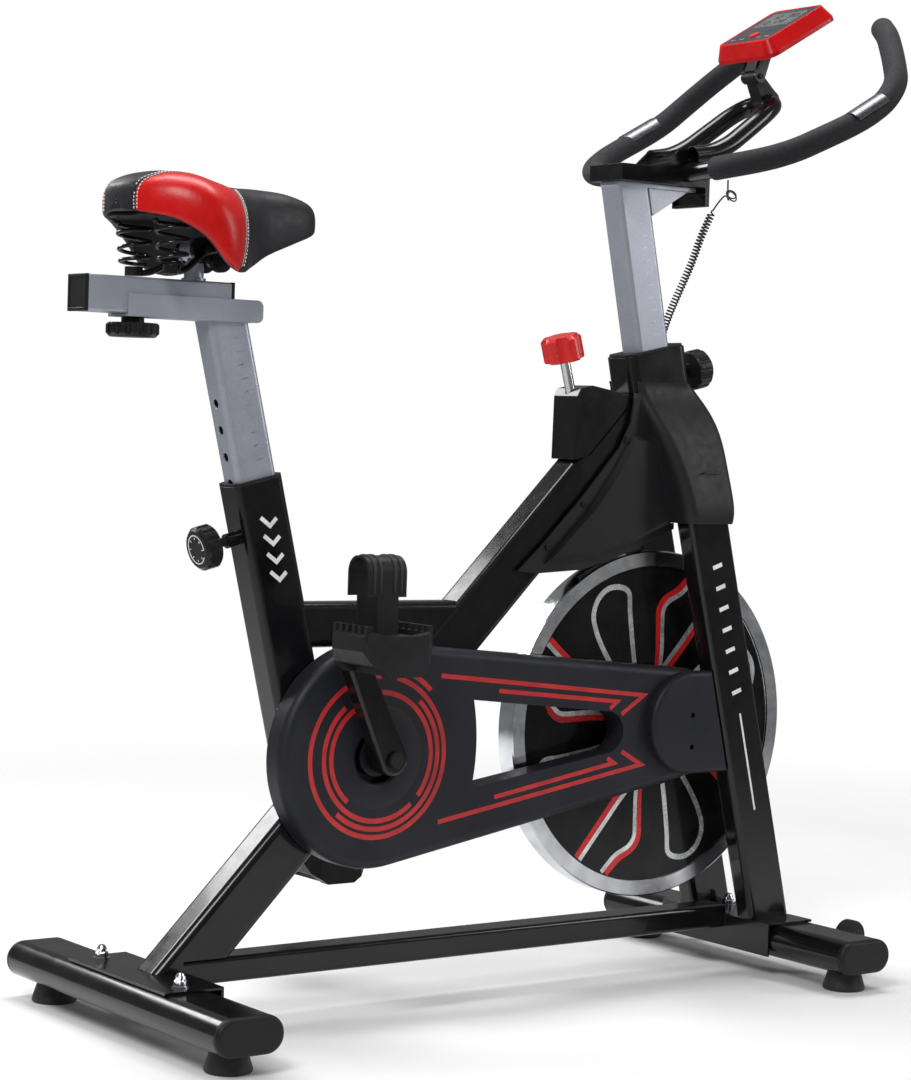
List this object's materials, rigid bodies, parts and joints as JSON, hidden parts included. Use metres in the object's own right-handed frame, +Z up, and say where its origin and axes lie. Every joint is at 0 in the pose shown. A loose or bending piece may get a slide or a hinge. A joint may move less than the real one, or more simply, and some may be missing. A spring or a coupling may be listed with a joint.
{
  "type": "indoor spin bike",
  "caption": "Indoor spin bike with a flywheel, covered belt drive, cranks and strapped pedals, sprung saddle on sliding posts, adjustable handlebar and small console.",
  "frame": {"origin": "on the floor, under the middle of the bike's length and width", "axes": "+X forward from saddle to handlebar, +Y to the rider's left, +Z up; the belt cover is on the -Y side"},
  "size_m": [1.0541, 0.458, 1.1843],
  "materials": {
    "frame_paint": "gloss black powder coat",
    "post_paint": "silver-grey satin paint",
    "chrome": "polished chrome",
    "steel": "zinc-plated steel",
    "flywheel_face": "gloss black with chrome rim",
    "cover_plastic": "fine-textured black plastic",
    "shell_plastic": "fine-textured charcoal plastic",
    "cap_plastic": "black plastic",
    "knob_plastic": "moulded black plastic",
    "knob_red": "moulded red plastic",
    "console_red": "gloss red plastic",
    "console_face": "dark grey window panel",
    "pedal_resin": "moulded black resin",
    "rubber": "black rubber",
    "foam": "dark grey foam",
    "saddle_black": "grained black synthetic leather",
    "saddle_red": "gloss red synthetic leather",
    "stitching": "white thread",
    "spring_black": "black-coated spring steel",
    "cord_black": "black cord sheath",
    "decal_red": "printed red graphic",
    "decal_white": "printed white graphic"
  },
  "bodies": {
    "frame": {"base_frame": "frame_paint", "main_tube": "frame_paint", "seat_tube": "frame_paint", "brace_tube": "frame_paint", "head_tube": "frame_paint", "fork_crown": "frame_paint", "fork_legs": "frame_paint", "bb_shell": "frame_paint", "brake_housing": "frame_paint", "rear_stabiliser": "frame_paint", "front_stabiliser": "frame_paint", "stabiliser_caps": "cap_plastic", "frame_bolts": "chrome", "frame_screws": "spring_black", "post_bushings": "cap_plastic", "bb_bearings": "steel", "cover_outer": "cover_plastic", "cover_inner": "cover_plastic", "hub_cap": "cover_plastic", "shell_near": "shell_plastic", "shell_far": "shell_plastic", "drive_belt": "rubber", "axle": "steel", "rubber_feet": "rubber", "brake_spring": "steel"},
    "flywheel_set": {"flywheel": "flywheel_face", "flywheel_bearings": "steel", "small_pulley": "steel"},
    "crank_set": {"bb_axle": "cap_plastic", "big_pulley": "cap_plastic", "cranks": "frame_paint"},
    "near_pedal": {"pedal_near": "pedal_resin"},
    "far_pedal": {"pedal_far": "pedal_resin"},
    "near_wheel": {"wheel_near": "cap_plastic"},
    "far_wheel": {"wheel_far": "cap_plastic"},
    "seat_column": {"seat_post": "post_paint"},
    "seat_pin": {"seat_post_knob": "knob_plastic"},
    "seat_carriage": {"seat_slider": "post_paint"},
    "seat_lock": {"seat_slider_knob": "knob_plastic"},
    "saddle_rails": {"saddle_frame": "spring_black", "saddle_springs": "spring_black"},
    "saddle_top": {"saddle_pan": "cap_plastic", "saddle_cushion": "saddle_black"},
    "head_pin": {"head_knob": "knob_plastic"},
    "bar_column": {"handlebar_post": "post_paint", "handlebar_bracket": "frame_paint", "handlebar": "frame_paint", "inner_loop": "frame_paint", "grips": "foam", "pulse_sensors": "chrome", "console_stem": "cap_plastic", "sensor_lead": "cord_black", "coil_cord": "cord_black"},
    "console": {"console_housing": "console_red", "console_lens": "console_face"},
    "console_key": {"console_button": "knob_red"},
    "brake_push": {"brake_rod": "chrome", "pad_holder": "steel", "brake_pad": "rubber"},
    "brake_turn": {"brake_knob": "knob_red"}
  },
  "joints": [
    {"name": "flywheel_spin", "type": "hinge", "parent": "frame", "child": "flywheel_set", "pos_m": [0.253, 0, 0.305], "axis": [0, 1, 0], "continuous": true},
    {"name": "crank_spin", "type": "hinge", "parent": "frame", "child": "crank_set", "pos_m": [-0.171, 0, 0.29], "axis": [0, 1, 0], "continuous": true},
    {"name": "pedal_near_spin", "type": "hinge", "parent": "crank_set", "child": "near_pedal", "pos_m": [-0.23439, -0.148, 0.42595], "axis": [0, 1, 0], "continuous": true},
    {"name": "pedal_far_spin", "type": "hinge", "parent": "crank_set", "child": "far_pedal", "pos_m": [-0.10761, 0.148, 0.15405], "axis": [0, 1, 0], "continuous": true},
    {"name": "wheel_near_roll", "type": "hinge", "parent": "frame", "child": "near_wheel", "pos_m": [0.485, -0.13, 0.048], "axis": [0, 1, 0], "continuous": true},
    {"name": "wheel_far_roll", "type": "hinge", "parent": "frame", "child": "far_wheel", "pos_m": [0.485, 0.13, 0.048], "axis": [0, 1, 0], "continuous": true},
    {"name": "seat_height", "type": "slide", "parent": "frame", "child": "seat_column", "axis": [-0.2419, 0, 0.9703], "range_m": [-0.147, 0.0588]},
    {"name": "seat_post_pin", "type": "slide", "parent": "frame", "child": "seat_pin", "axis": [0.9703, 0, 0.2419], "range_m": [0, 0.008]},
    {"name": "seat_fore_aft", "type": "slide", "parent": "seat_column", "child": "seat_carriage", "axis": [1, 0, 0], "range_m": [-0.04, 0.06]},
    {"name": "seat_slider_lock", "type": "hinge", "parent": "seat_column", "child": "seat_lock", "pos_m": [-0.461, 0, 0.75], "axis": [0, 0, 1], "range_deg": [0, 720]},
    {"name": "saddle_tilt", "type": "hinge", "parent": "seat_carriage", "child": "saddle_rails", "pos_m": [-0.389, 0, 0.832], "axis": [0, 1, 0], "range_deg": [-8, 8]},
    {"name": "saddle_bounce", "type": "hinge", "parent": "saddle_rails", "child": "saddle_top", "pos_m": [-0.283, 0, 0.851], "axis": [0, -1, 0], "range_deg": [0, 3], "stiffness_Nm_per_rad": 400, "springref_deg": -0.34, "deforming": ["saddle_springs"]},
    {"name": "handlebar_height", "type": "slide", "parent": "frame", "child": "bar_column", "axis": [-0.2113, 0, 0.9774], "range_m": [-0.0882, 0.0294], "deforming": ["coil_cord"]},
    {"name": "head_pin_pull", "type": "slide", "parent": "frame", "child": "head_pin", "axis": [-0.9774, 0, -0.2113], "range_m": [0, 0.008]},
    {"name": "console_tilt", "type": "hinge", "parent": "bar_column", "child": "console", "pos_m": [0.393, 0, 1.092], "axis": [0, 1, 0], "range_deg": [-15, 15]},
    {"name": "console_press", "type": "slide", "parent": "console", "child": "console_key", "axis": [0.5, 0, -0.866], "range_m": [0, 0.0015], "stiffness_N_per_m": 300, "springref_m": -0.0005},
    {"name": "brake_press", "type": "slide", "parent": "frame", "child": "brake_push", "axis": [0.2756, 0, -0.9613], "range_m": [0, 0.006], "stiffness_N_per_m": 3000, "springref_m": -0.004, "deforming": ["brake_spring"]},
    {"name": "brake_tension", "type": "hinge", "parent": "brake_push", "child": "brake_turn", "pos_m": [0.1105, 0, 0.75], "axis": [-0.2756, 0, 0.9613], "range_deg": [-720, 720]}
  ],
  "couplings": [
    {"joint": "crank_spin", "follows": "flywheel_spin", "ratio": 0.24}
  ]
}
